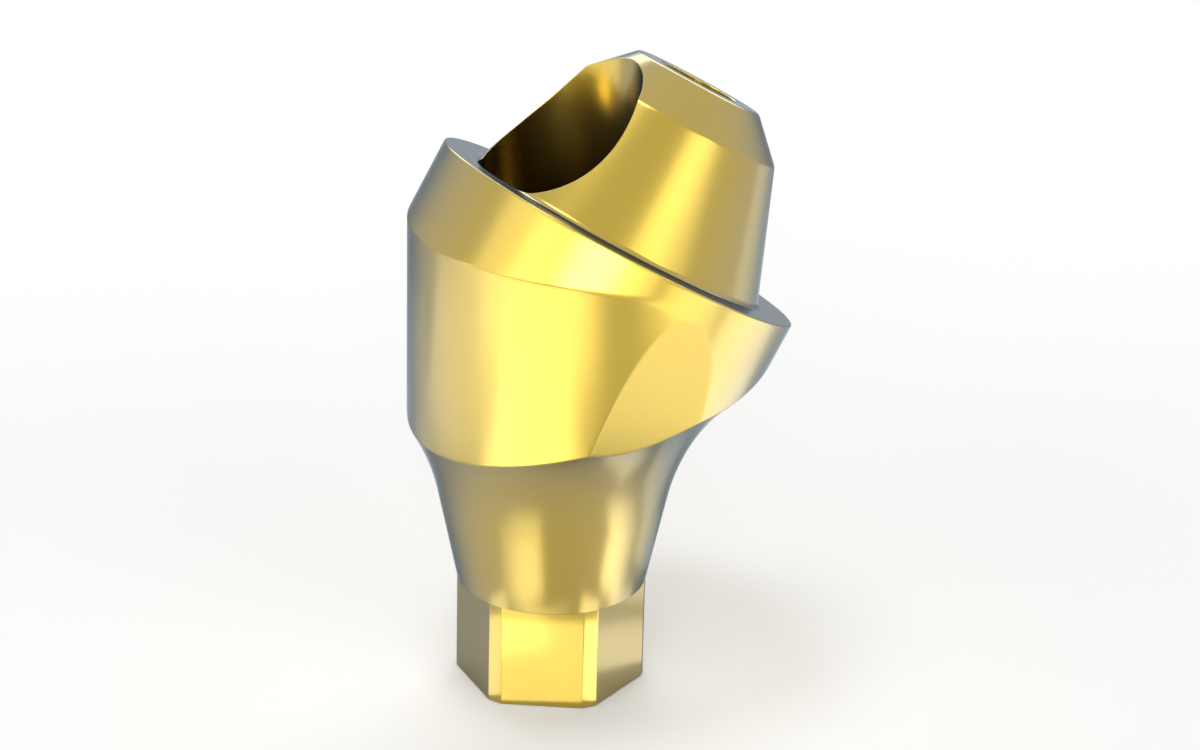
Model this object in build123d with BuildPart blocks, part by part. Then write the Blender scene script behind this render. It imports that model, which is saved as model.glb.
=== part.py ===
from build123d import *
import math
import os

# Angled dental abutment, milled from one piece of titanium, in millimetres and degrees.
# The implant's axis is Z and the hexagon's lower face lies on z = 0. The upper half leans towards +X,
# and the front (-Y) and the back (+Y) mirror each other.

# Hexagon that enters the implant
hex_across_flats = 2.15
hex_corner_diameter = 2.38
hex_height = 1.345

# Tapered neck above the hexagon, and the trumpet that opens from it under the body
neck_taper = 12.0
neck_top_height = 2.52
flare_radius = 3.06

# Leaning axis: it crosses the implant's axis, and the platform lies across it further up
lean = 30.0
crossing_height = 4.40
platform_above_crossing = 1.645
platform_diameter = 4.80
rim_round = 0.02

# Upright oval wall on the side away from the lean
wall_centre = 0.93
wall_half_length = 2.727
wall_half_width = 2.427

# Flats on the front and back, their distance from the implant's axis taken at the crossing height
flat_distance = 2.176
flat_lean = 8.0
flat_turn = 5.15

# Cone that carries the prosthesis, measured along the leaning axis from the platform
cone_base_diameter = 3.846
cone_taper = 21.5
cone_base_fillet = 0.10
shoulder_height = 1.59
shoulder_round = 0.12
tip_taper = 45.0
tip_height = 2.066
tip_round = 0.10

# Channel for the abutment screw, with its conical seat and the hole for the shank
channel_diameter = 1.952
seat_height = 2.60
seat_angle = 90.0
shank_diameter = 1.50

# Hole for the small prosthetic screw, from the tip down into the channel
prosthetic_hole_diameter = 1.05
break_through = 0.10

# How far the cutting shapes pass the part
clear_of_part = 0.30

# Leaning axis and platform, worked out from the sizes above
axis_x = math.sin(math.radians(lean))
axis_z = math.cos(math.radians(lean))
platform_x = platform_above_crossing * axis_x
platform_z = crossing_height + platform_above_crossing * axis_z
platform_radius = platform_diameter / 2
part_top = platform_z + tip_height * axis_z + platform_radius * axis_x
blank_depth = platform_above_crossing + crossing_height / axis_z

# Neck and trumpet
neck_base_radius = hex_corner_diameter / 2
neck_top_radius = neck_base_radius + (neck_top_height - hex_height) * math.tan(math.radians(neck_taper))
flare_centre_x = neck_top_radius + flare_radius * math.cos(math.radians(neck_taper))
flare_reach = platform_x + platform_radius * axis_z + clear_of_part
flare_end_slope = math.degrees(math.acos((flare_centre_x - flare_reach) / flare_radius))

# Cone
cone_base_radius = cone_base_diameter / 2
shoulder_radius = cone_base_radius - shoulder_height * math.tan(math.radians(cone_taper))
tip_radius = shoulder_radius - (tip_height - shoulder_height) * math.tan(math.radians(tip_taper))

# Holes
channel_radius = channel_diameter / 2
shank_radius = shank_diameter / 2
seat_depth = (channel_radius - shank_radius) / math.tan(math.radians(seat_angle / 2))
prosthetic_hole_radius = prosthetic_hole_diameter / 2
hole_leaves_wall = (channel_radius - platform_x - prosthetic_hole_radius * axis_z) / axis_x
prosthetic_hole_depth = tip_height - hole_leaves_wall + break_through

# Planes across the leaning axis at the platform and at the tip, and the section that holds the axis
platform_plane = Plane((platform_x, 0, platform_z), x_dir=(axis_z, 0, -axis_x), z_dir=(axis_x, 0, axis_z))
tip_plane = platform_plane.offset(tip_height)
leaning_section = Plane(platform_plane.origin, x_dir=platform_plane.x_dir, z_dir=(0, -1, 0))


def flat_plane(side):
    """Plane of the flat on the front (side -1) or the back (side 1), facing outwards and a little down."""
    turned = Vector(-math.sin(math.radians(flat_turn)), side * math.cos(math.radians(flat_turn)), 0)
    origin = turned * flat_distance + Vector(0, 0, crossing_height)
    outward = turned * math.cos(math.radians(flat_lean)) - Vector(0, 0, math.sin(math.radians(flat_lean)))
    return Plane(origin, x_dir=turned.cross(Vector(0, 0, 1)), z_dir=outward)


with BuildPart() as abutment:
    # Collar, platform and cone, turned about the leaning axis
    with BuildSketch(leaning_section) as turned_profile:
        with BuildLine():
            Polyline(
                (0, -blank_depth),
                (platform_radius, -blank_depth),
                (platform_radius, 0),
                (cone_base_radius, 0),
                (shoulder_radius, shoulder_height),
                (tip_radius, tip_height),
                (0, tip_height),
                close=True,
            )
        make_face()
        for corner, radius in (
            ((platform_radius, 0), rim_round),
            ((cone_base_radius, 0), cone_base_fillet),
            ((shoulder_radius, shoulder_height), shoulder_round),
            ((tip_radius, tip_height), tip_round),
        ):
            fillet(turned_profile.vertices().sort_by_distance(corner)[0], radius)
    revolve(axis=Axis(platform_plane.origin, platform_plane.z_dir))

    # Upright oval wall, from the top of the neck upwards
    with BuildSketch(Plane.XY.offset(neck_top_height)):
        with Locations((wall_centre, 0)):
            Ellipse(wall_half_length, wall_half_width)
    extrude(amount=part_top, mode=Mode.INTERSECT)

    # Trumpet that trims the body from below
    with BuildSketch(Plane.XZ):
        with BuildLine():
            trumpet = JernArc(
                start=(neck_top_radius, neck_top_height),
                tangent=(math.sin(math.radians(neck_taper)), math.cos(math.radians(neck_taper))),
                radius=flare_radius,
                arc_size=neck_taper - flare_end_slope,
            )
            Polyline(
                trumpet @ 1,
                (flare_reach, part_top + clear_of_part),
                (0, part_top + clear_of_part),
                (0, neck_top_height),
                trumpet @ 0,
            )
        make_face()
    revolve(axis=Axis.Z, mode=Mode.INTERSECT)

    # Tapered neck
    with BuildSketch(Plane.XY.offset(hex_height)):
        Circle(neck_base_radius)
    extrude(amount=neck_top_height - hex_height, taper=-neck_taper)

    # Hexagon with its corners turned to the neck's diameter
    with BuildSketch():
        RegularPolygon(hex_across_flats / 2, 6, major_radius=False, rotation=30)
        Circle(hex_corner_diameter / 2, mode=Mode.INTERSECT)
    extrude(amount=hex_height)

    # Flats milled on the front and the back
    for side in (-1, 1):
        with BuildSketch(flat_plane(side)):
            Rectangle(2 * platform_diameter, 2 * platform_diameter)
        extrude(amount=platform_diameter, mode=Mode.SUBTRACT)

    # Channel for the abutment screw along the implant's axis, with its seat and shank hole
    with BuildSketch(Plane.XZ):
        with BuildLine():
            Polyline(
                (0, -clear_of_part),
                (shank_radius, -clear_of_part),
                (shank_radius, seat_height - seat_depth),
                (channel_radius, seat_height),
                (channel_radius, part_top + clear_of_part),
                (0, part_top + clear_of_part),
                close=True,
            )
        make_face()
    revolve(axis=Axis.Z, mode=Mode.SUBTRACT)

    # Hole for the prosthetic screw along the leaning axis
    with BuildSketch(tip_plane):
        Circle(prosthetic_hole_radius)
    extrude(amount=-prosthetic_hole_depth, mode=Mode.SUBTRACT)

abutment.part.label = "abutment"

os.makedirs("parts", exist_ok=True)
export_step(abutment.part, "parts/abutment.step")
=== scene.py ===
import bpy
import numpy as np
from mathutils import Matrix, Vector


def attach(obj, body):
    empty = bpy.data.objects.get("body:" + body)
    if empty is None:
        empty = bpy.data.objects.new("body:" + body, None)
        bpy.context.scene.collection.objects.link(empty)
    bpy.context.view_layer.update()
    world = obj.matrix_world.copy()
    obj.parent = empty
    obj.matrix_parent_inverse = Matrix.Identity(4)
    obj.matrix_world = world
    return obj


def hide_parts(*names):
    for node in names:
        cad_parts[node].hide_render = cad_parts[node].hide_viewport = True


bl_info = {
    "name": "Dental abutment",
    "version": (1, 0, 0),
    "blender": (4, 5, 0),
    "location": "3D View > Sidebar > Abutment",
    "description": "Angled dental abutment in gold-coloured titanium",
    "category": "Object",
}

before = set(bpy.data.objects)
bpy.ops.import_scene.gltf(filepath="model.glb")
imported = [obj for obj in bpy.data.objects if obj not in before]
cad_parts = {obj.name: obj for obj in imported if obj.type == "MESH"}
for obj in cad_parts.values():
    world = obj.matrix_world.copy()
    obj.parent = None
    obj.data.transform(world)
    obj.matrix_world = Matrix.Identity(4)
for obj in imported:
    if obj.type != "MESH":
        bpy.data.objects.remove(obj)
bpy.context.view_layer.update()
NODE = "abutment"
BODY = "root"
MM = 0.001

# How finely the surface is divided: columns, rows, samples taken to place them, and the largest step in
# millimetres and in radians between two rows
COLUMNS = 288
BODY_ROWS = 84
DENSE = 1500
ARC_SAMPLES = 600
COLUMN_SAMPLES = 20001
RIM_SAMPLES = 40001
ROW_SPACING = 0.072
ROW_TURN = 0.17
MOUTH_SPACING = 0.052
BODY_SPACING = 0.075
BODY_TURN = 0.10

# Columns gathered at the hexagon's edges: how wide each gathering is, in radians, and its share
EDGE_WIDTH = 0.012
EDGE_SHARE = 0.0115

# Where patches of the surface end, in millimetres: down the collar's side, outside the tip's hole on the tip
# and on the hole's own side, and in the hexagon's end at this radius and this far outside the shank's hole
COLLAR_SEAM = 0.05
TIP_SEAM = 0.075
HOLE_SEAM = 0.042
HEX_END_SEAM = 0.93
SHANK_SEAM = 0.08

# Small radii that the named sizes leave open, in millimetres
NECK_ROUND = 0.012
HEX_ROUND = 0.02
HEX_EDGE_SOFTNESS = 0.004
SEAT_ROUND = 0.03
HOLE_ROUND = 0.02

# Channel's mouth: how far its soft edge reaches out over the outside and down the wall, in millimetres
MOUTH_INSET = 0.012
MOUTH_DROP = 0.016

# Thread in the tip's hole: the groove's width and steepness as shares of a pitch, then in millimetres how it
# fades in and out, the plain wall above the channel, and the metal left between groove and channel
GROOVE_WIDTH = 1.15
GROOVE_STEEPNESS = 2.6
THREAD_FADE_IN = 0.22
THREAD_FADE_OUT = 0.25
THREAD_END = 0.02
GROOVE_CLEARANCE = 0.015

# Height of the tool marks, in millimetres
MARK_DEPTH = 0.002

# Floor in millimetres: its radius, just inside the lamps, and where it starts and ends turning into the
# room's colour; then the share of its colour in its second tone, and its sides
FLOOR_RADIUS = 59
FLOOR_NEAR = 6
FLOOR_FAR = 24
FLOOR_SHADE = 0.985
FLOOR_SIDES = 128

# Standing lamps: their distance and the height that they face, in millimetres
LAMP_DISTANCE = 60
LAMP_AIM = 4.5

# Height of the lying lamps, in millimetres
LYING_HEIGHT = 0.02

# Camera: its place round the part and above it, and its roll, in degrees; its distance from the point it
# looks at, that point's height, and how far it slides across and up its own view, in millimetres
SENSOR_WIDTH = 36.0
CAMERA_AZIMUTH = -25.9072
CAMERA_ELEVATION = 22.9428
CAMERA_ROLL = 1.4355
CAMERA_DISTANCE = 42.1996
CAMERA_AIM = 4.0
CAMERA_ACROSS = 0.5518
CAMERA_UP = 0.0569

# Name, azimuth, elevation, width and height as the part sees them, all in degrees, and strength
STANDING_LAMPS = (
    ("key", -138, 16, 60, 18, 2.3),
    ("key_middle", -122, 13, 30, 16, 6.0),
    ("key_low", -110, 2, 40, 12, 2.3),
    ("strip", -75, 32, 48, 15, 2.2),
    ("strip_low", -60, 16, 20, 15, 0.9),
    ("side", -170, 28, 40, 20, 1.1),
    ("side_low", -172, 0, 50, 22, 1.3),
    ("back", 62, 28, 80, 26, 3.6),
    ("top", 180, 80, 80, 16, 8),
)

# Name, azimuth and width in degrees, nearest and farthest edge in millimetres, and strength
LYING_LAMPS = (
    ("floor_left", -148, 48, 7, 12, 2.4),
    ("floor_left_far", -148, 48, 12, 26, 2.3),
    ("floor_far_left", 160, 44, 9, 17, 0.8),
    ("floor_right", -70, 36, 7, 16, 1.2),
    ("floor_right_far", -70, 36, 16, 40, 1.9),
    ("floor_side", -30, 40, 5.5, 16, 1.7),
    ("floor_behind", 10, 40, 5.5, 40, 0.6),
    ("floor_neck_side", 0, 40, 3.0, 4.4, 0.95),
    ("floor_foot_side", -32, 40, 1.5, 2.6, 1.2),
    ("floor_back_left", 112, 40, 5, 14, 0.45),
    ("floor_scoop", -170, 70, 17, 26, 1.2),
)

# Name, azimuth in degrees, distance, height, width and length in millimetres, tilt in degrees, strength, and
# sideways turn and spread in degrees
FOOT_LAMPS = (
    ("foot", -124, 1.45, 0.44, 1.6, 1.0, 30, 0.225, 0, 70),
    ("foot_left", -159, 1.53, 0.45, 0.5, 1.0, 30, 0.22, -28, 70),
    ("foot_right", -83, 1.56, 0.45, 0.5, 1.0, 30, 0.40, 20, 70),
    ("neck_left", -143, 2.72, 0.42, 1.9, 1.0, 36, 0.27, 0, 60),
    ("neck_right", -43, 2.85, 0.42, 2.2, 1.0, 36, 0.30, 0, 60),
)


def length(name, millimetres, description):
    """Property for a length, kept in metres."""
    return bpy.props.FloatProperty(
        name=name, description=description, default=millimetres * MM, min=0.0, precision=6, unit="LENGTH"
    )


def angle(name, degrees, description):
    """Property for an angle, kept in radians."""
    return bpy.props.FloatProperty(
        name=name, description=description, default=np.radians(degrees), min=0.0, subtype="ANGLE"
    )


def amount(name, value, description, low=0.0, high=1.0):
    """Property for a plain number between two limits."""
    return bpy.props.FloatProperty(name=name, description=description, default=value, min=low, max=high)


def colour(name, value, description):
    """Property for a colour."""
    return bpy.props.FloatVectorProperty(
        name=name, description=description, default=value, min=0.0, max=1.0, size=3, subtype="COLOR"
    )


class ABUTMENT_PG_sizes(bpy.types.PropertyGroup):
    """Sizes of the abutment."""

    lean: angle("Lean", 30.0, "Angle between the two axes")
    crossing_height: length("Crossing height", 4.40, "Height at which the two axes cross")
    platform_height: length("Platform height", 1.645, "Its distance from the crossing")
    platform_diameter: length("Platform diameter", 4.80, "Diameter of the platform and the collar")
    rim_round: length("Rim round", 0.02, "Radius on the platform's rim")
    cone_diameter: length("Cone diameter", 3.846, "Diameter of the cone at the platform")
    cone_taper: angle("Cone taper", 21.5, "Slope of the cone's side from the leaning axis")
    cone_fillet: length("Cone fillet", 0.10, "Radius between the platform and the cone")
    shoulder_height: length("Shoulder height", 1.59, "Height of the cone's shoulder above the platform")
    shoulder_round: length("Shoulder round", 0.12, "Radius on the cone's shoulder")
    tip_taper: angle("Tip taper", 45.0, "Slope of the tip's side from the leaning axis")
    tip_height: length("Tip height", 2.066, "Height of the tip above the platform")
    tip_round: length("Tip round", 0.10, "Radius on the tip's edge")
    wall_centre: length("Wall centre", 0.93, "Distance from the implant's axis to the wall's centre")
    wall_half_length: length("Wall half length", 2.727, "Half the oval wall's length, along the lean")
    wall_half_width: length("Wall half width", 2.427, "Half the oval wall's width, across the lean")
    flat_distance: length("Flat distance", 2.176, "Distance of each side flat from the crossing")
    flat_lean: angle("Flat lean", 8.0, "How far each side flat faces downwards")
    flat_turn: angle("Flat turn", 5.15, "How far each side flat turns away from the lean")
    flare_radius: length("Flare radius", 3.06, "Radius of the trumpet between the neck and the body")
    neck_top: length("Neck top", 2.52, "Height at which the neck runs into the flare")
    neck_taper: angle("Neck taper", 12.0, "Slope of the neck from the implant's axis")
    neck_base_diameter: length("Neck base diameter", 2.38, "Diameter of the neck above the hexagon")
    hex_flats: length("Hexagon across flats", 2.15, "Size of the hexagon")
    hex_corners: length("Hexagon across corners", 2.376, "Diameter of the turned corners")
    hex_height: length("Hexagon height", 1.345, "Height of the hexagon")
    channel_diameter: length("Channel diameter", 1.952, "Diameter of the screw channel")
    seat_height: length("Seat height", 2.60, "Height of the screw seat's upper edge")
    shank_diameter: length("Shank hole diameter", 1.50, "Diameter of the hole for the screw's shank")
    hole_diameter: length("Prosthetic hole diameter", 1.05, "Diameter of the threaded hole in the tip")
    thread_pitch: length("Thread pitch", 0.30, "Pitch of the thread in the tip's hole")
    thread_depth: length("Thread depth", 0.15, "Depth of the thread in the tip's hole")
    thread_start: length("Thread start", 0.20, "Plain length of the tip's hole above its thread")
    edge_softness: length("Edge softness", 0.010, "How far the body's edges are softened")


class ABUTMENT_PG_finish(bpy.types.PropertyGroup):
    """Colours and texture of the gold-coloured finish, and its painted reflection at glancing angles."""

    gold: colour("Gold", (0.49, 0.355, 0.060), "Colour of the coating seen straight on")
    gold_shade: colour("Gold, second tone", (0.465, 0.335, 0.055), "Colour that drifts through the coating")
    # Painted reflection: the coating's colour turns to this blue-grey at a glancing angle in place of bluish
    # surroundings reflected there, and the fall sets how late it comes in
    painted_reflection: colour("Sheen", (0.34, 0.40, 0.49), "Colour that the coating turns to at an angle")
    painted_reflection_fall: amount("Sheen fall", 1.7, "How late the sheen comes in", high=10.0)
    glance: colour("Glancing colour", (0.30, 0.34, 0.36), "Tint of the coating seen at a glancing angle")
    roughness: amount("Roughness", 0.23, "Roughness of the satin finish")
    roughness_drift: amount("Roughness drift", 0.03, "How much the roughness varies")
    mark_spacing: length("Mark spacing", 0.045, "Average distance between the tool marks")
    mark_strength: amount("Mark strength", 0.10, "Strength of the tool marks")


class ABUTMENT_PG_studio(bpy.types.PropertyGroup):
    """Floor, lights and camera."""

    floor_colour: colour("Floor colour", (0.97, 0.97, 0.97), "Colour of the floor")
    world_colour: colour("Room colour", (1.0, 1.0, 1.0), "Colour of the room behind the floor")
    room_light: amount("Room light", 0.27, "Share of the room's colour that lights the floor")
    lens: amount("Lens", 102.741, "Focal length in millimetres", 1.0, 500.0)


class Form:
    """The abutment's sizes in millimetres and radians, and what follows from them."""

    def __init__(self, sizes):
        for name, prop in sizes.bl_rna.properties.items():
            if name in ("rna_type", "name"):
                continue
            value = getattr(sizes, name)
            setattr(self, name, value if prop.unit == "ROTATION" else value / MM)
        self.sin, self.cos = np.sin(self.lean), np.cos(self.lean)
        self.centre = np.array([0.0, 0.0, self.crossing_height])
        self.along = np.array([self.sin, 0.0, self.cos])
        self.across = np.array([self.cos, 0.0, -self.sin])
        self.side = np.array([0.0, 1.0, 0.0])
        self.platform_radius = self.platform_diameter / 2
        self.cone_radius = self.cone_diameter / 2
        self.shoulder_radius = self.cone_radius - self.shoulder_height * np.tan(self.cone_taper)
        tip_length = self.tip_height - self.shoulder_height
        self.tip_radius = self.shoulder_radius - tip_length * np.tan(self.tip_taper)
        self.top = self.platform_height + self.tip_height
        self.channel_radius = self.channel_diameter / 2
        self.shank_radius = self.shank_diameter / 2
        self.hole_radius = self.hole_diameter / 2
        self.neck_base_radius = self.neck_base_diameter / 2
        neck_length = self.neck_top - self.hex_height
        self.neck_top_radius = self.neck_base_radius + neck_length * np.tan(self.neck_taper)
        self.flare_x = self.neck_top_radius + self.flare_radius * np.cos(self.neck_taper)
        self.flare_z = self.neck_top - self.flare_radius * np.sin(self.neck_taper)


class Skin:
    """One closed surface, gathered patch by patch: points, outward normals, quads and triangles."""

    def __init__(self):
        self.points, self.normals, self.turned = [], [], []
        self.quads, self.triangles = [], []
        self.count = 0

    def add(self, points, normals, turned=0.0):
        """Adds a block of points and returns their numbers in the block's own shape."""
        shape = points.shape[:-1]
        ids = np.arange(self.count, self.count + int(np.prod(shape))).reshape(shape)
        self.points.append(points.reshape(-1, 3))
        self.normals.append(np.broadcast_to(normals, points.shape).reshape(-1, 3))
        self.turned.append(np.full(ids.size, turned))
        self.count += ids.size
        return ids

    def weave(self, ids):
        """Fills the grid of numbered points with quads."""
        quads = np.stack([ids[:-1, :-1], ids[:-1, 1:], ids[1:, 1:], ids[1:, :-1]], -1)
        self.quads.append(quads.reshape(-1, 4))

    def weave_round(self, ids):
        """Fills a grid whose last column meets its first."""
        self.weave(np.concatenate([ids, ids[:, :1]], 1))

    def stitch(self, ring_a, angles_a, ring_b, angles_b):
        """Joins two closed rings by triangles, in the order of the angles of their points."""
        ring_a, angles_a = ring_a[np.argsort(angles_a)], np.sort(angles_a)
        ring_b, angles_b = ring_b[np.argsort(angles_b)], np.sort(angles_b)
        order = np.argsort(np.concatenate([angles_a, angles_b]), kind="stable")
        from_a = order < len(ring_a)
        last_a = np.cumsum(from_a) - 1
        last_b = np.cumsum(~from_a) - 1
        a, a_before = ring_a[last_a % len(ring_a)], ring_a[(last_a - 1) % len(ring_a)]
        b, b_before = ring_b[last_b % len(ring_b)], ring_b[(last_b - 1) % len(ring_b)]
        advance_a = np.stack([a_before, a, b], -1)
        advance_b = np.stack([b_before, b, a], -1)
        self.triangles.append(np.where(from_a[:, None], advance_a, advance_b))

    def closed(self):
        """Points, unit normals, turned mask, quads and triangles, with every face turned outwards."""
        points = np.concatenate(self.points)
        normals = unit(np.concatenate(self.normals))
        turned = np.concatenate(self.turned)
        quads, triangles = np.concatenate(self.quads), np.concatenate(self.triangles)
        for faces in (quads, triangles):
            across = points[faces[:, 2]] - points[faces[:, 0]]
            back = points[faces[:, -1]] - points[faces[:, 1]]
            inward = (np.cross(across, back) * normals[faces].sum(1)).sum(-1) < 0
            faces[inward] = faces[inward][:, ::-1]
        used = np.unique(np.concatenate([quads.ravel(), triangles.ravel()]))
        number = np.full(self.count, -1)
        number[used] = np.arange(len(used))
        return points[used], normals[used], turned[used], number[quads], number[triangles]


def unit(vectors):
    """Vectors at length one."""
    return vectors / np.linalg.norm(vectors, axis=-1, keepdims=True)


def ease(x):
    """Goes from 0 to 1 with level ends: 3x^2 - 2x^3."""
    x = np.clip(x, 0, 1)
    return x * x * (3 - 2 * x)


def softer(a, b, width):
    """The smaller of a and b, with the corner where they cross rounded by a parabola over width."""
    near = np.clip(width - np.abs(a - b), 0, None) / width
    return np.minimum(a, b) - near * near * width / 4


def wrapped(angles):
    """Angles brought between -pi and pi."""
    return (angles + np.pi) % (2 * np.pi) - np.pi


def rows_wanted(points, normals, spacing, bend):
    """Rows wanted between samples: distance / spacing + change of the normal's direction / bend."""
    distance = np.linalg.norm(np.diff(points, axis=0), axis=-1)
    change = np.arccos(np.clip((normals[1:] * normals[:-1]).sum(-1), -1, 1))
    return distance / spacing + change / bend


def rounded_run(corners, radii, arc_steps, run_steps):
    """Points and right-hand normals along straight runs whose corners are arcs.

    corners is (corners, columns, 2). An arc's ends lie radius x tan(half the turn) from its corner, no
    further than a share of the shorter run, and its points are its centre plus or minus radius x a normal
    that turns evenly.
    """
    largest_share = 0.45
    corners = np.asarray(corners, float)
    if corners.ndim == 2:
        corners = corners[:, None, :]
    run = np.diff(corners, axis=0)
    span = np.linalg.norm(run, axis=-1, keepdims=True)
    way = run / span
    points, normals = [], []
    start = corners[0]
    for i in range(1, len(corners)):
        way_in, end = way[i - 1], corners[i]
        normal_in = np.stack([way_in[:, 1], -way_in[:, 0]], -1)
        last = i == len(way)
        if not last:
            cross = way_in[:, 0] * way[i][:, 1] - way_in[:, 1] * way[i][:, 0]
            turn = np.arctan2(cross, (way_in * way[i]).sum(-1))[:, None]
            tan_half = np.maximum(np.tan(np.abs(turn) / 2), 1e-9)
            cut = np.minimum(radii[i] * tan_half, largest_share * np.minimum(span[i - 1], span[i]))
            end = corners[i] - way_in * cut
        t = np.asarray(run_steps[i - 1])[:, None, None]
        points.append(start[None] * (1 - t) + end[None] * t)
        normals.append(np.broadcast_to(normal_in, (len(t), *normal_in.shape)))
        if not last:
            a = np.linspace(0, 1, arc_steps[i] + 1)[1:-1, None, None] * turn[None]
            nx, ny = normal_in[:, :1], normal_in[:, 1:]
            normal = [np.cos(a) * nx - np.sin(a) * ny, np.sin(a) * nx + np.cos(a) * ny]
            normal = np.concatenate(normal, -1)
            bend = np.sign(turn) * cut / tan_half
            points.append(end - bend * normal_in + bend * normal)
            normals.append(normal)
            start = corners[i] + way[i] * cut
    return np.concatenate(points), np.concatenate(normals)


def section(*pairs):
    """Corners of a section from pairs of radius and height, each a number or one value per column."""
    columns = np.broadcast_shapes(*[np.shape(value) for pair in pairs for value in pair])
    return np.stack([np.stack([np.broadcast_to(value, columns) for value in pair], -1) for pair in pairs])


def about_lean(form, radius, height, turn):
    """Points round the leaning axis: centre + r cos(t) across + r sin(t) side + h along."""
    radius, height, turn = np.broadcast_arrays(radius, height, turn)
    out = (radius * np.cos(turn))[..., None] * form.across
    sideways = (radius * np.sin(turn))[..., None] * form.side
    return form.centre + out + sideways + height[..., None] * form.along


def turned_normal(form, radial, axial, turn):
    """Normals with a radial and an axial part, turned about the leaning axis."""
    return about_lean(form, radial, axial, turn) - form.centre


def about_upright(radius, turn, height):
    """Points at radius, turn and height on the implant's axis: (r cos t, r sin t, z)."""
    radius, turn, height = np.broadcast_arrays(radius, turn, height)
    return np.stack([radius * np.cos(turn), radius * np.sin(turn), height], -1)


def reach(form, turn, rise):
    """Distance from the axes' crossing to the body's outside, in the direction turn, rise.

    It is the softened smallest of five exact distances: to the collar, R / sin(angle from the leaning axis);
    to the oval wall, the larger root of the ellipse's equation over cos(rise); to each flat, its distance
    over the cosine to its normal; and to the trumpet, the smaller root of its circle's equation.
    """
    ct, st, cr, sr = np.cos(turn), np.sin(turn), np.cos(rise), np.sin(rise)
    far, least_facing = 50.0, 0.05
    lean_cos = cr * ct * form.along[0] + sr * form.along[2]
    found = form.platform_radius / np.sqrt(np.maximum(1 - lean_cos**2, 1e-9))
    a = (ct / form.wall_half_length) ** 2 + (st / form.wall_half_width) ** 2
    b = -form.wall_centre * ct / form.wall_half_length**2
    c = (form.wall_centre / form.wall_half_length) ** 2 - 1
    found = softer(found, (-b + np.sqrt(b**2 - a * c)) / a / cr, form.edge_softness)
    for side in (-1, 1):
        facing = -np.sin(form.flat_turn) * ct + side * np.cos(form.flat_turn) * st
        facing = np.cos(form.flat_lean) * facing * cr - np.sin(form.flat_lean) * sr
        distance = form.flat_distance * np.cos(form.flat_lean) / np.maximum(facing, least_facing)
        found = softer(found, np.where(facing > least_facing, distance, far), form.edge_softness)
    half_b = -form.flare_x * cr + (form.crossing_height - form.flare_z) * sr
    c = form.flare_x**2 + (form.crossing_height - form.flare_z) ** 2 - form.flare_radius**2
    inside = half_b**2 - c
    trumpet = np.where(inside > 0, -half_b - np.sqrt(np.maximum(inside, 0)), far)
    return softer(found, trumpet, form.edge_softness)


def body_point(form, turn, rise):
    """Point on the body's outside: crossing + reach x direction."""
    direction = about_upright(np.cos(rise), turn, np.sin(rise))
    return form.centre + reach(form, turn, rise)[..., None] * direction


def body_normal(form, turn, rise):
    """Outward normal: cross product of the surface's small steps in turn and in rise."""
    step = 2e-6
    by_turn = body_point(form, turn + step, rise) - body_point(form, turn - step, rise)
    by_rise = body_point(form, turn, rise + step) - body_point(form, turn, rise - step)
    return unit(np.cross(by_turn, by_rise))


def hexagon_radius(form, turn):
    """Outline of the hexagon: half the flats / cos(turn in its sector), no more than the corners' radius."""
    sector = np.pi / 3
    local = (turn + sector / 2) % sector - sector / 2
    return softer(form.hex_flats / 2 / np.cos(local), form.hex_corners / 2, HEX_EDGE_SOFTNESS)


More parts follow.
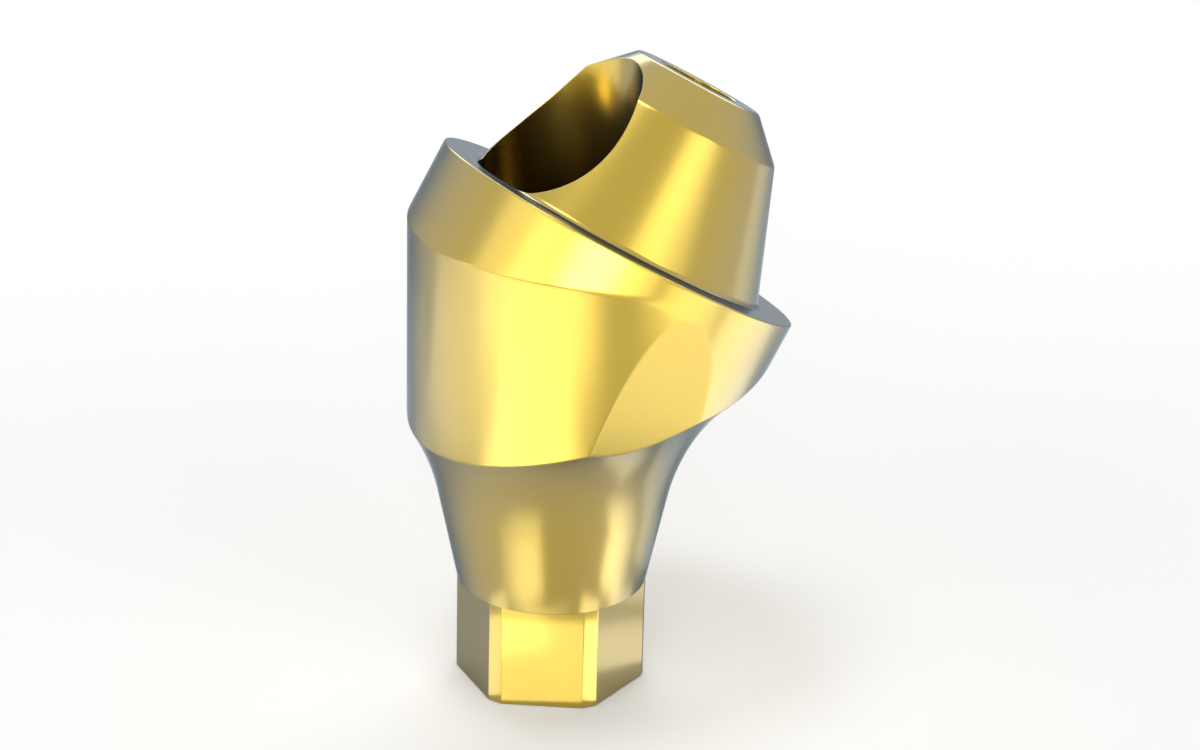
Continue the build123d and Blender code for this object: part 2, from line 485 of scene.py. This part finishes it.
def turned_rows(form):
    """Rows of the turned profile from the collar to the tip: radius, height, normal, and the kept half turn.

    The half turn is where the row's circle leaves the channel, found from
    cos(turn) = (h cos(lean) - sqrt(h^2 + r^2 - channel^2)) / (r sin(lean)).
    """
    corners = [
        (form.platform_radius, form.platform_height - COLLAR_SEAM),
        (form.platform_radius, form.platform_height),
        (form.cone_radius, form.platform_height),
        (form.shoulder_radius, form.platform_height + form.shoulder_height),
        (form.tip_radius, form.top),
        (form.hole_radius + TIP_SEAM, form.top),
    ]
    radii = [0, form.rim_round, form.cone_fillet, form.shoulder_round, form.tip_round, 0]
    dense = np.linspace(0, 1, DENSE)
    path, normal = rounded_run(corners, radii, [0] + [ARC_SAMPLES] * 4 + [0], [dense] * 5)
    path, normal = path[:, 0], normal[:, 0]
    fresh = np.append(True, np.linalg.norm(np.diff(path, axis=0), axis=1) > 1e-9)
    path, normal = path[fresh], normal[fresh]

    def leaving(rows):
        root = np.sqrt(rows[:, 1] ** 2 + rows[:, 0] ** 2 - (form.channel_radius + MOUTH_INSET) ** 2)
        return (form.cos * rows[:, 1] - root) / (form.sin * rows[:, 0])

    cosine = leaving(path)
    mouth = about_lean(form, path[:, 0], path[:, 1], np.arccos(np.clip(cosine, -1, 1)))
    cut = cosine > -1
    first, last = np.flatnonzero(cut)[[0, -1]]
    wanted = rows_wanted(path, normal, ROW_SPACING, ROW_TURN)
    wanted += np.linalg.norm(np.diff(mouth, axis=0), axis=1) * (cut[1:] & cut[:-1]) / MOUTH_SPACING
    count = np.append(0, np.cumsum(wanted))
    number = np.arange(len(count), dtype=float)
    opening = np.interp(-1, cosine[first - 1 : first + 1], number[first - 1 : first + 1])
    closing = np.interp(-1, cosine[last : last + 2][::-1], number[last : last + 2][::-1])
    turn = np.arctan2(mouth[first : last + 1, 1], mouth[first : last + 1, 0])
    edge = np.arcsin(form.hole_radius / form.channel_radius)
    breaking = np.interp(edge, turn[::-1], number[first : last + 1][::-1])
    stations, marks = [], [0.0, opening, breaking, closing, number[-1]]
    for start, end in zip(marks[:-1], marks[1:]):
        ends = np.interp([start, end], number, count)
        steps = max(3, int(np.ceil(ends[1] - ends[0])))
        rows = np.interp(np.linspace(*ends, steps + 1), count, number)
        rows[0], rows[-1] = start, end
        stations.append(rows[: None if end == marks[-1] else -1])
    first, middle = len(stations[0]), len(stations[0]) + len(stations[1])
    last = middle + len(stations[2])
    stations = np.concatenate(stations)
    path = np.stack([np.interp(stations, number, path[:, k]) for k in (0, 1)], -1)
    normal = unit(np.stack([np.interp(stations, number, normal[:, k]) for k in (0, 1)], -1))
    half_turn = np.arccos(np.clip(leaving(path), -1, 1))
    half_turn[: first + 1] = np.pi
    half_turn[last:] = np.pi
    return path, normal, half_turn, (first, middle, last)


def column_turns(form):
    """Azimuths of the columns: evenly spread, and closer where the hexagon's edges stand, by bell curves."""
    turn = np.linspace(-np.pi, np.pi, COLUMN_SAMPLES)
    edge = np.arccos(form.hex_flats / form.hex_corners)
    edges = (np.arange(-6, 7)[:, None] * np.pi / 3 + np.array([-edge, edge])).ravel()
    bumps = np.exp(-(((turn[:, None] - edges) / EDGE_WIDTH) ** 2)).sum(1) / (EDGE_WIDTH * np.sqrt(np.pi))
    density = 1 / (2 * np.pi) + EDGE_SHARE * bumps
    share = np.append(0, np.cumsum((density[1:] + density[:-1]) / 2))
    spread = np.interp(np.linspace(0, share[-1], COLUMNS + 1), share, turn)
    return (spread - spread[::-1]) / 2


def add_turned(form, skin):
    """Collar's rim, platform, cone and tip: a profile carried round the leaning axis, open at the channel.

    Row j runs from turn -half_turn(j) to +half_turn(j), so the sides of the grid trace the channel's mouth,
    and where the channel doesn't reach, the two sides are the same points.
    """
    path, normal, half_turn, (first, middle, last) = turned_rows(form)
    turn = np.linspace(-np.pi, np.pi, RIM_SAMPLES)
    rim = about_lean(form, path[0, 0], path[0, 1], turn)
    azimuth = np.arctan2(rim[:, 1], rim[:, 0])
    azimuth[[0, -1]] = -np.pi, np.pi
    turns = np.interp(column_turns(form), azimuth, turn)
    turns[[0, -1]] = -np.pi, np.pi
    angles = turns / np.pi * half_turn[:, None]
    points = about_lean(form, path[:, :1], path[:, 1:], angles)
    normals = turned_normal(form, normal[:, :1], normal[:, 1:], angles)
    ids = skin.add(points, normals, 1.0)
    ids[: first + 1, -1] = ids[: first + 1, 0]
    ids[last:, -1] = ids[last:, 0]
    skin.weave(ids)

    def mouth(grid):
        return np.concatenate([grid[first : last + 1, -1], grid[first + 1 : last, 0][::-1]])

    loop = {"ids": mouth(ids), "points": mouth(points), "normals": mouth(normals), "middle": middle - first}
    return ids, points[0], turns, loop


def add_body(form, skin, rim_ids, rim):
    """Collar, oval wall, flats and trumpet: reach as a function of azimuth and rise, rows closer at edges."""
    turn = np.arctan2(rim[:, 1], rim[:, 0])
    turn[[0, -1]] = -np.pi, np.pi
    offset = rim - form.centre
    top = np.arctan2(offset[:, 2], np.hypot(offset[:, 0], offset[:, 1]))
    bottom = np.arctan2(form.neck_top - form.crossing_height, form.neck_top_radius)

    def rows(share):
        rise = top * (1 - share) + bottom * share
        turns = np.broadcast_to(turn, rise.shape)
        return body_point(form, turns, rise), body_normal(form, turns, rise)

    share = np.linspace(0, 1, DENSE)[:, None]
    points, normals = rows(share)
    wanted = rows_wanted(points, normals, BODY_SPACING, BODY_TURN)
    count = np.concatenate([np.zeros((1, len(turn))), np.cumsum(wanted, 0)])
    count /= count[-1]
    even = np.linspace(0, 1, BODY_ROWS)
    share = np.stack([np.interp(even, column, share[:, 0]) for column in count.T], 1)
    points, normals = rows(share)
    ids = skin.add(points[1:], normals[1:])
    ids[:, -1] = ids[:, 0]
    skin.weave(np.concatenate([rim_ids[None], ids]))
    return ids[-1], turn


def add_foot(form, skin, upper_ids, turn):
    """Neck and hexagon: straight runs with rounded corners, their radius set by the hexagon's outline."""
    outline = hexagon_radius(form, turn)
    corners = section(
        (form.neck_top_radius, form.neck_top),
        (form.neck_base_radius, form.hex_height),
        (outline, form.hex_height),
        (outline, 0.0),
        (HEX_END_SEAM, 0.0),
    )
    runs = [np.linspace(0, 1, 9), [0, 1], np.concatenate([[0], np.linspace(0.02, 0.98, 6), [1]]), [0, 1]]
    path, normal = rounded_run(corners, [0, NECK_ROUND, HEX_ROUND, HEX_ROUND, 0], [0, 4, 4, 5, 0], runs)
    normal = -normal
    step = 1e-5
    slope = (hexagon_radius(form, turn + step) - hexagon_radius(form, turn - step)) / (2 * step) / outline
    close, under_neck = 0.025, form.hex_height - 0.001
    on_flat = (np.abs(path[..., 0] - outline) < close) & (path[..., 1] < under_neck)
    sideways = np.where(on_flat, slope, 0) * normal[..., 0]
    normals = about_upright(normal[..., 0], turn, normal[..., 1])
    normals[..., 0] += sideways * np.sin(turn)
    normals[..., 1] -= sideways * np.cos(turn)
    ids = skin.add(about_upright(path[..., 0], turn, path[..., 1])[1:], normals[1:])
    ids[:, -1] = ids[:, 0]
    skin.weave(np.concatenate([upper_ids[None], ids]))
    return ids[-1, :-1]


def add_mouth(form, skin, loop):
    """Soft edge between the outside and the channel: (1-t)^2 A + 2t(1-t) E + t^2 B across it.

    A lies on the outside, E where the outside's tangent meets the channel's wall, and B a little below.
    """
    a, normal = loop["points"], loop["normals"]
    turn = np.arctan2(a[:, 1], a[:, 0])
    turn[0] = np.pi
    radial = about_upright(1.0, turn, 0.0)
    inwards = radial * (form.channel_radius - np.hypot(a[:, 0], a[:, 1]))[:, None]
    e = a + inwards
    e[:, 2] -= (normal * inwards).sum(-1) / normal[:, 2]
    b = e - np.array([0, 0, MOUTH_DROP])
    t = np.linspace(0, 1, 6)[:, None, None]
    strip = a * (1 - t) ** 2 + 2 * t * (1 - t) * e + t**2 * b
    ids = skin.add(strip[1:], (normal * (1 - t) - radial * t)[1:])
    skin.weave_round(np.concatenate([loop["ids"][None], ids]))
    return ids[-1], b, turn


def add_channel(form, skin, mouth_ids, mouth, turn, middle):
    """Channel wall, seat and shank hole in the mouth's own columns, open where the tip's hole breaks through.

    Its edges at azimuth t: z = crossing + (R cos t cos(lean) +- sqrt(r^2 - R^2 sin^2 t)) / sin(lean).
    """
    edge = np.arcsin(form.hole_radius / form.channel_radius)
    turn[[middle, len(turn) - middle]] = edge, -edge
    half = np.sqrt(np.maximum(form.hole_radius**2 - (form.channel_radius * np.sin(turn)) ** 2, 0))
    half[[middle, len(turn) - middle]] = 0
    broken = np.abs(turn) < edge - 1e-9
    level = form.crossing_height + form.channel_radius * np.cos(edge) * form.cos / form.sin
    run = form.channel_radius * np.cos(turn) * form.cos
    high = np.where(broken, form.crossing_height + (run + half) / form.sin, level)
    low = np.where(broken, form.crossing_height + (run - half) / form.sin, level)
    share = np.concatenate([np.linspace(0, 0.94, 18), [0.975, 1.0]])[:, None]
    wall = about_upright(form.channel_radius, turn, mouth[:, 2] * (1 - share) + high * share)
    upper_ids = skin.add(wall[1:], about_upright(-1.0, turn, 0.0))
    skin.weave_round(np.concatenate([mouth_ids[None], upper_ids]))
    corners = section(
        (form.channel_radius, low),
        (form.channel_radius, form.seat_height),
        (form.shank_radius, form.seat_height - (form.channel_radius - form.shank_radius)),
        (form.shank_radius, 0.0),
        (form.shank_radius + SHANK_SEAM, 0.0),
    )
    runs = [np.append([0, 0.01], np.linspace(0.04, 1, 16)), [0, 0.5, 1], np.linspace(0, 1, 10), [0, 1]]
    path, normal = rounded_run(corners, [0, SEAT_ROUND, SEAT_ROUND, SEAT_ROUND, 0], [0, 4, 4, 4, 0], runs)
    points = about_upright(path[..., 0], turn, path[..., 1])
    normals = about_upright(normal[..., 0], turn, normal[..., 1])
    lower_ids = skin.add(points, normals)
    lower_ids[0, ~broken] = upper_ids[-1, ~broken]
    skin.weave_round(lower_ids)
    inside = np.flatnonzero(np.abs(turn) <= edge + 1e-9)
    inside = inside[np.argsort(turn[inside])]
    ahead = np.arcsin(np.clip(form.channel_radius * np.sin(turn[inside]) / form.hole_radius, -1, 1))
    back = inside[1:-1][::-1]
    ring = {
        "ids": np.concatenate([lower_ids[0, inside], upper_ids[-1, back]]),
        "turn": np.concatenate([ahead, (np.pi - ahead[1:-1])[::-1]]),
        "azimuth": turn[np.concatenate([inside, back])],
        "z": np.concatenate([low[inside], high[back]]),
    }
    return lower_ids[-1], ring


def room_to_channel(form, turn, height):
    """Largest radius from the leaning axis that stays in the metal, at a turn and a height.

    It is the smaller root r of |(height sin(lean) + r cos(turn) cos(lean), r sin(turn))| = channel radius +
    clearance, where the turn leads towards the implant's axis.
    """
    towards, aside = np.cos(turn) * form.cos, np.sin(turn)
    offset, clear = height * form.sin, form.channel_radius + GROOVE_CLEARANCE
    square = towards**2 + aside**2
    under = (offset * towards) ** 2 - square * (offset**2 - clear**2)
    hit = (-offset * towards - np.sqrt(np.maximum(under, 0))) / square
    return np.where((under > 0) & (towards < 0), hit, form.platform_radius)


def add_prosthetic_hole(form, skin, tip_ids, tip_turns, ring):
    """Hole in the tip down to its break-through, its wall pushed outwards by a helical groove.

    The groove's depth is a bump of frac(depth / pitch + turn / 2 pi), faded in and out, and held back where
    the channel's wall is near.
    """
    floor = form.channel_radius * np.cos(ring["azimuth"]) * form.sin
    floor = floor + (ring["z"] - form.crossing_height) * form.cos
    corners = section(
        (form.hole_radius + HOLE_SEAM, form.top), (form.hole_radius, form.top), (form.hole_radius, floor)
    )
    run = np.concatenate([[0, 0.004, 0.01], np.linspace(0.02, 0.985, 100), [0.994, 1]])
    path, normal = rounded_run(corners, [0, HOLE_ROUND, 0], [0, 5, 0], [[0, 1], run])
    radius, height = path[..., 0], path[..., 1]
    down = form.top - height
    phase = (down / form.thread_pitch + ring["turn"] / (2 * np.pi)) % 1.0
    groove = ease(GROOVE_WIDTH - GROOVE_STEEPNESS * np.abs(phase - 0.5))
    fade = ease((down - form.thread_start) / THREAD_FADE_IN)
    fade = fade * ease((height - floor - THREAD_END) / THREAD_FADE_OUT)
    spare = np.maximum(room_to_channel(form, ring["turn"], height) - radius, 0)
    radius = radius + np.minimum(form.thread_depth * groove * fade, spare)
    points = about_lean(form, radius, height, ring["turn"])
    normals = turned_normal(form, normal[..., 0], normal[..., 1], ring["turn"])
    wide = np.concatenate([points[:, -1:], points, points[:, :1]], 1)
    facing = np.cross(wide[:, 2:] - wide[:, :-2], np.gradient(points, axis=0))
    facing = unit(facing) * np.sign((facing * normals).sum(-1, keepdims=True))
    normals = np.where(fade[..., None] > 1e-6, facing, normals)
    ids = skin.add(points[:-1], normals[:-1], 1.0)
    skin.weave_round(np.concatenate([ids, ring["ids"][None]]))
    skin.stitch(tip_ids, tip_turns, ids[0], wrapped(ring["turn"]))


def abutment_skin(form):
    """The whole closed surface of the abutment."""
    skin = Skin()
    top_ids, rim, turns, loop = add_turned(form, skin)
    neck_ids, azimuth = add_body(form, skin, top_ids[0], rim)
    foot_ring = add_foot(form, skin, neck_ids, azimuth)
    mouth_ids, mouth, mouth_turn = add_mouth(form, skin, loop)
    shank_ring, ring = add_channel(form, skin, mouth_ids, mouth, mouth_turn, loop["middle"])
    skin.stitch(foot_ring, azimuth[:-1], shank_ring, mouth_turn)
    add_prosthetic_hole(form, skin, top_ids[-1, :-1], turns[:-1], ring)
    return skin.closed()


def mesh_object(name, points, normals, turned, quads, triangles):
    """Puts the arrays into a smooth mesh with its own normals, and returns its object."""
    mesh = bpy.data.meshes.new(name)
    corners = np.concatenate([quads.ravel(), triangles.ravel()]).astype(np.int32)
    sizes = np.repeat([4, 3], [len(quads), len(triangles)]).astype(np.int32)
    starts = np.append(0, np.cumsum(sizes)[:-1]).astype(np.int32)
    mesh.vertices.add(len(points))
    mesh.vertices.foreach_set("co", (points * MM).astype(np.float32).ravel())
    mesh.loops.add(len(corners))
    mesh.loops.foreach_set("vertex_index", corners)
    mesh.polygons.add(len(sizes))
    mesh.polygons.foreach_set("loop_start", starts)
    mesh.polygons.foreach_set("use_smooth", np.ones(len(sizes), bool))
    mesh.update(calc_edges=True)
    mask = mesh.attributes.new("turned", "FLOAT", "POINT")
    mask.data.foreach_set("value", turned.astype(np.float32))
    mesh.normals_split_custom_set_from_vertices(normals.astype(np.float32))
    mesh.validate()
    piece = bpy.data.objects.new(name, mesh)
    bpy.context.collection.objects.link(piece)
    return piece


def put(tree, socket, value):
    """Links an output to the socket, or sets the socket's plain value."""
    if isinstance(value, bpy.types.NodeSocket):
        tree.links.new(value, socket)
    else:
        socket.default_value = value


def node(tree, kind, place, **values):
    """Adds a shader node and sets its properties and inputs, an input also by another node's output."""
    made = tree.nodes.new(kind)
    made.location = place
    for key, value in values.items():
        if hasattr(made, key):
            setattr(made, key, value)
        else:
            put(tree, made.inputs[key.replace("_", " ")], value)
    return made


def math_node(tree, operation, place, *values):
    """Output of a math node whose inputs are numbers or other nodes' outputs."""
    made = node(tree, "ShaderNodeMath", place, operation=operation)
    for socket, value in zip(made.inputs, values):
        put(tree, socket, value)
    return made.outputs[0]


def mix_node(tree, kind, place, share, first, second):
    """Output of a node that mixes two numbers, kind FLOAT, or two colours, kind RGBA."""
    made = node(tree, "ShaderNodeMix", place, data_type=kind)
    start = {"FLOAT": 2, "RGBA": 6}[kind]
    put(tree, made.inputs[0], share)
    put(tree, made.inputs[start], first)
    put(tree, made.inputs[start + 1], second)
    return made.outputs[{"FLOAT": 0, "RGBA": 2}[kind]]


def empty_material(name):
    """New material and its node tree, with no nodes in it."""
    material = bpy.data.materials.new(name)
    material.use_nodes = True
    material.node_tree.nodes.clear()
    return material, material.node_tree


def tool_mark_group():
    """Node group: fine marks that run round an axis, from the distance along it."""
    group = bpy.data.node_groups.new("tool_marks", "ShaderNodeTree")
    sockets = (
        ("Distance", "INPUT", "Float"),
        ("Position", "INPUT", "Vector"),
        ("Spacing", "INPUT", "Float"),
        ("Height", "OUTPUT", "Float"),
        ("Tone", "OUTPUT", "Float"),
    )
    for name, direction, kind in sockets:
        group.interface.new_socket(name, in_out=direction, socket_type="NodeSocket" + kind)
    given = node(group, "NodeGroupInput", (-900, 0)).outputs
    count = math_node(group, "DIVIDE", (-700, 100), given["Distance"], given["Spacing"])
    noise = "ShaderNodeTexNoise"
    fine = node(group, noise, (-300, 200), noise_dimensions="1D", W=count, Scale=1.0, Detail=3.0)
    slow = node(group, noise, (-300, -100), Vector=given["Position"], Scale=900.0, Detail=3.0)
    height = math_node(group, "MULTIPLY", (0, 100), fine.outputs[0], slow.outputs[0])
    node(group, "NodeGroupOutput", (300, 0), Height=height, Tone=slow.outputs[0])
    return group


def gold_material(finish, sizes):
    """Satin gold coating with a blue-grey painted reflection at glancing angles: fine tool marks round the
    leaning axis above and the implant's axis below.

    Above, they follow the distance along the axis minus that from it, so the platform has them too.
    """
    material, tree = empty_material("gold_coating")
    place = node(tree, "ShaderNodeTexCoord", (-1300, 0)).outputs["Object"]
    upright = node(tree, "ShaderNodeSeparateXYZ", (-900, -200), Vector=place).outputs
    lean = node(tree, "ShaderNodeMapping", (-1100, 200), vector_type="TEXTURE", Vector=place)
    lean.inputs["Location"].default_value.z = sizes.crossing_height
    lean.inputs["Rotation"].default_value.y = sizes.lean
    leaning = node(tree, "ShaderNodeSeparateXYZ", (-900, 200), Vector=lean.outputs[0]).outputs
    square_x = math_node(tree, "MULTIPLY", (-750, 350), leaning[0], leaning[0])
    square_y = math_node(tree, "MULTIPLY", (-750, 200), leaning[1], leaning[1])
    square = math_node(tree, "ADD", (-680, 300), square_x, square_y)
    radius = math_node(tree, "SQRT", (-600, 300), square)
    along = math_node(tree, "SUBTRACT", (-450, 300), leaning[2], radius)
    turned = node(tree, "ShaderNodeAttribute", (-600, 0), attribute_type="GEOMETRY", attribute_name="turned")
    distance = mix_node(tree, "FLOAT", (-300, 100), turned.outputs["Fac"], upright[2], along)
    marks = node(tree, "ShaderNodeGroup", (-100, 0), node_tree=tool_mark_group(), Distance=distance)
    put(tree, marks.inputs["Position"], place)
    marks.inputs["Spacing"].default_value = finish.mark_spacing
    height, drift = marks.outputs["Height"], marks.outputs["Tone"]
    bump = node(tree, "ShaderNodeBump", (300, -200), Height=height, Distance=MARK_DEPTH * MM)
    bump.inputs["Strength"].default_value = finish.mark_strength
    least, most = finish.roughness - finish.roughness_drift, finish.roughness + finish.roughness_drift
    rough = node(tree, "ShaderNodeMapRange", (300, 0), Value=drift, To_Min=least, To_Max=most)
    gold, gold_shade = (*finish.gold, 1.0), (*finish.gold_shade, 1.0)
    tone = mix_node(tree, "RGBA", (300, 250), drift, gold, gold_shade)
    # Painted reflection: the base colour is mixed towards blue-grey by how glancing the view is, in place of
    # bluish surroundings reflected at the edges
    facing = node(tree, "ShaderNodeLayerWeight", (100, 500), Blend=0.5).outputs["Facing"]
    facing = math_node(tree, "POWER", (300, 500), facing, finish.painted_reflection_fall)
    coat = node(
        tree,
        "ShaderNodeBsdfPrincipled",
        (600, 0),
        Metallic=1.0,
        Base_Color=mix_node(tree, "RGBA", (450, 400), facing, tone, (*finish.painted_reflection, 1.0)),
        Roughness=rough.outputs[0],
        Specular_Tint=(*finish.glance, 1.0),
        Normal=bump.outputs[0],
    )
    node(tree, "ShaderNodeOutputMaterial", (900, 0), Surface=coat.outputs[0])
    return material


class ABUTMENT_OT_body(bpy.types.Operator):
    """Make the abutment's surface and its finish in place of the plain solid"""

    bl_idname = "abutment.body"
    bl_label = "Make abutment"
    bl_options = {"REGISTER", "UNDO"}

    def execute(self, context):
        sizes = context.scene.abutment_sizes
        piece = mesh_object("gold_abutment", *abutment_skin(Form(sizes)))
        piece.data.materials.append(gold_material(context.scene.abutment_finish, sizes))
        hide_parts(NODE)
        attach(piece, BODY)
        return {"FINISHED"}


def lamp(name, width, height, strength):
    """Rectangular soft panel whose radiance is strength, where 1 looks white."""
    data = bpy.data.lights.new(name, "AREA")
    data.shape = "RECTANGLE"
    data.size, data.size_y = width, height
    data.energy = strength * np.pi * width * height
    light = bpy.data.objects.new(name, data)
    bpy.context.collection.objects.link(light)
    return light


def turn_lamp(light, azimuth, elevation):
    """Turns a panel's back to a direction in degrees, and returns that direction."""
    a, e = np.radians(azimuth), np.radians(elevation)
    out = Vector((np.cos(a) * np.cos(e), np.sin(a) * np.cos(e), np.sin(e)))
    light.rotation_mode = "QUATERNION"
    light.rotation_quaternion = out.to_track_quat("Z", "Y")
    return out


def standing_lamp(name, azimuth, elevation, wide, tall, strength):
    """Panel that faces the abutment from afar, wide and tall as the abutment sees it."""
    distance = LAMP_DISTANCE * MM
    width = 2 * distance * np.tan(np.radians(wide / 2)) * np.cos(np.radians(elevation))
    height = 2 * distance * np.tan(np.radians(tall / 2))
    light = lamp(name, width, height, strength)
    light.location = Vector((0, 0, LAMP_AIM * MM)) + turn_lamp(light, azimuth, elevation) * distance


def lying_lamp(name, azimuth, wide, near, far, strength):
    """Panel that lies on the floor and faces up, between near and far from the implant's axis."""
    a, middle = np.radians(azimuth), (near + far) / 2 * MM
    light = lamp(name, (far - near) * MM, 2 * middle * np.tan(np.radians(wide / 2)), strength)
    light.location = (middle * np.cos(a), middle * np.sin(a), LYING_HEIGHT * MM)
    light.rotation_euler = (np.pi, 0, a)


def foot_lamp(name, azimuth, distance, height, wide, tall, tilt, strength, turn, spread):
    """Small panel close to the hexagon that faces the implant's axis and, by its tilt, a little upwards.

    turn swings it sideways, and its narrow spread keeps its light off the floor.
    """
    a = np.radians(azimuth)
    light = lamp(name, wide * MM, tall * MM, strength)
    light.data.spread = np.radians(spread)
    light.location = (distance * MM * np.cos(a), distance * MM * np.sin(a), height * MM)
    turn_lamp(light, azimuth + turn, -tilt)


def seen_directly(tree, across):
    """Value that is 1 for what the camera, a reflection or a see-through piece sees, and 0 for light."""
    path = node(tree, "ShaderNodeLightPath", (across, -300)).outputs
    seen = math_node(tree, "MAXIMUM", (across + 200, -300), path["Is Camera Ray"], path["Is Glossy Ray"])
    return math_node(tree, "MAXIMUM", (across + 350, -300), seen, path["Is Transmission Ray"])


def floor_material(tint, room_tint):
    """Pale floor that keeps the part's shadow, and that turns into the room's colour further out."""
    material, tree = empty_material("pale_floor")
    place = node(tree, "ShaderNodeTexCoord", (-900, 0)).outputs["Object"]
    grain = node(tree, "ShaderNodeTexNoise", (-700, 0), Vector=place, Scale=40.0, Detail=4.0)
    shade = (*[c * FLOOR_SHADE for c in tint], 1.0)
    tone = mix_node(tree, "RGBA", (-400, 0), grain.outputs[0], shade, (*tint, 1.0))
    matt = node(tree, "ShaderNodeBsdfPrincipled", (0, 0), Base_Color=tone, Roughness=1.0)
    matt.inputs["Specular IOR Level"].default_value = 0.0
    away = node(tree, "ShaderNodeVectorMath", (-700, -550), operation="LENGTH", Vector=place)
    near, end = FLOOR_NEAR * MM, FLOOR_FAR * MM
    far = node(tree, "ShaderNodeMapRange", (-400, -550), From_Min=near, From_Max=end)
    far.interpolation_type = "SMOOTHSTEP"
    put(tree, far.inputs["Value"], away.outputs["Value"])
    glow = node(tree, "ShaderNodeEmission", (0, -600), Color=(*room_tint, 1.0))
    fade = math_node(tree, "MULTIPLY", (-150, -400), far.outputs[0], seen_directly(tree, -900))
    blend = node(tree, "ShaderNodeMixShader", (350, 0))
    for socket, value in zip(blend.inputs, (fade, matt.outputs[0], glow.outputs[0])):
        put(tree, socket, value)
    node(tree, "ShaderNodeOutputMaterial", (600, 0), Surface=blend.outputs[0])
    return material


def room(tint, light):
    """Pale room, seen as it is and in reflections, and dimmer as light on the floor, so the shadow stays."""
    world = bpy.data.worlds.new("room")
    world.use_nodes = True
    tree = world.node_tree
    strength = node(tree, "ShaderNodeMapRange", (-100, 0), Value=seen_directly(tree, -650), To_Min=light)
    background = tree.nodes["Background"]
    background.inputs["Color"].default_value = (*tint, 1.0)
    put(tree, background.inputs["Strength"], strength.outputs[0])
    return world


class ABUTMENT_OT_stage(bpy.types.Operator):
    """Set up the floor, the studio lights and the camera"""

    bl_idname = "abutment.stage"
    bl_label = "Set up studio"
    bl_options = {"REGISTER", "UNDO"}

    def execute(self, context):
        studio = context.scene.abutment_studio
        turn = np.linspace(0, 2 * np.pi, FLOOR_SIDES + 1)[:-1]
        ring = np.stack([np.cos(turn), np.sin(turn), 0 * turn], -1) * FLOOR_RADIUS * MM
        mesh = bpy.data.meshes.new("floor")
        mesh.from_pydata(ring.tolist(), [], [list(range(len(turn)))])
        mesh.materials.append(floor_material(studio.floor_colour, studio.world_colour))
        floor = bpy.data.objects.new("floor", mesh)
        context.collection.objects.link(floor)
        context.scene.world = room(studio.world_colour, studio.room_light)
        kinds = ((standing_lamp, STANDING_LAMPS), (lying_lamp, LYING_LAMPS), (foot_lamp, FOOT_LAMPS))
        for kind, lamps in kinds:
            for values in lamps:
                kind(*values)
        camera_data = bpy.data.cameras.new("camera")
        camera = bpy.data.objects.new("camera", camera_data)
        context.collection.objects.link(camera)
        camera_data.sensor_width = SENSOR_WIDTH
        camera_data.lens = studio.lens
        camera_data.clip_start, camera_data.clip_end = 0.001, 5.0
        camera.matrix_world = camera_place()
        context.scene.camera = camera
        context.scene.view_settings.view_transform = "Standard"
        return {"FINISHED"}


def camera_place():
    """Camera's place and turn: round the part, up, rolled a little, and slid across the view."""
    azimuth, elevation, roll = np.radians([CAMERA_AZIMUTH, CAMERA_ELEVATION, CAMERA_ROLL])
    level = np.cos(elevation)
    back = Vector((np.sin(azimuth) * level, -np.cos(azimuth) * level, np.sin(elevation)))
    right = Vector((np.cos(azimuth), np.sin(azimuth), 0.0))
    up = back.cross(right)
    slid = right * CAMERA_ACROSS * MM + up * CAMERA_UP * MM + back * CAMERA_DISTANCE * MM
    place = Vector((0, 0, CAMERA_AIM * MM)) + slid
    right_rolled = right * np.cos(roll) + up * np.sin(roll)
    up_rolled = up * np.cos(roll) - right * np.sin(roll)
    turn = Matrix((right_rolled, up_rolled, back)).transposed().to_4x4()
    return Matrix.Translation(place) @ turn


class ABUTMENT_PT_panel(bpy.types.Panel):
    """Panel with the sizes, the finish and the studio"""

    bl_idname = "ABUTMENT_PT_panel"
    bl_label = "Abutment"
    bl_space_type = "VIEW_3D"
    bl_region_type = "UI"
    bl_category = "Abutment"

    def draw(self, context):
        for title, group, operator in (
            ("Sizes", context.scene.abutment_sizes, ABUTMENT_OT_body.bl_idname),
            ("Finish", context.scene.abutment_finish, None),
            ("Studio", context.scene.abutment_studio, ABUTMENT_OT_stage.bl_idname),
        ):
            box = self.layout.box()
            box.label(text=title)
            for name in group.bl_rna.properties.keys():
                if name not in ("rna_type", "name"):
                    box.prop(group, name)
            if operator:
                box.operator(operator)


CLASSES = (
    ABUTMENT_PG_sizes,
    ABUTMENT_PG_finish,
    ABUTMENT_PG_studio,
    ABUTMENT_OT_body,
    ABUTMENT_OT_stage,
    ABUTMENT_PT_panel,
)


def register():
    """Makes the classes known to Blender and gives the scene its settings."""
    for cls in CLASSES:
        bpy.utils.register_class(cls)
    bpy.types.Scene.abutment_sizes = bpy.props.PointerProperty(type=ABUTMENT_PG_sizes)
    bpy.types.Scene.abutment_finish = bpy.props.PointerProperty(type=ABUTMENT_PG_finish)
    bpy.types.Scene.abutment_studio = bpy.props.PointerProperty(type=ABUTMENT_PG_studio)


def unregister():
    """Takes the settings and the classes out again."""
    del bpy.types.Scene.abutment_studio
    del bpy.types.Scene.abutment_finish
    del bpy.types.Scene.abutment_sizes
    for cls in reversed(CLASSES):
        bpy.utils.unregister_class(cls)


def main():
    """Registers the classes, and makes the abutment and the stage."""
    register()
    bpy.ops.abutment.body()
    bpy.ops.abutment.stage()


if __name__ == "__main__":
    main()
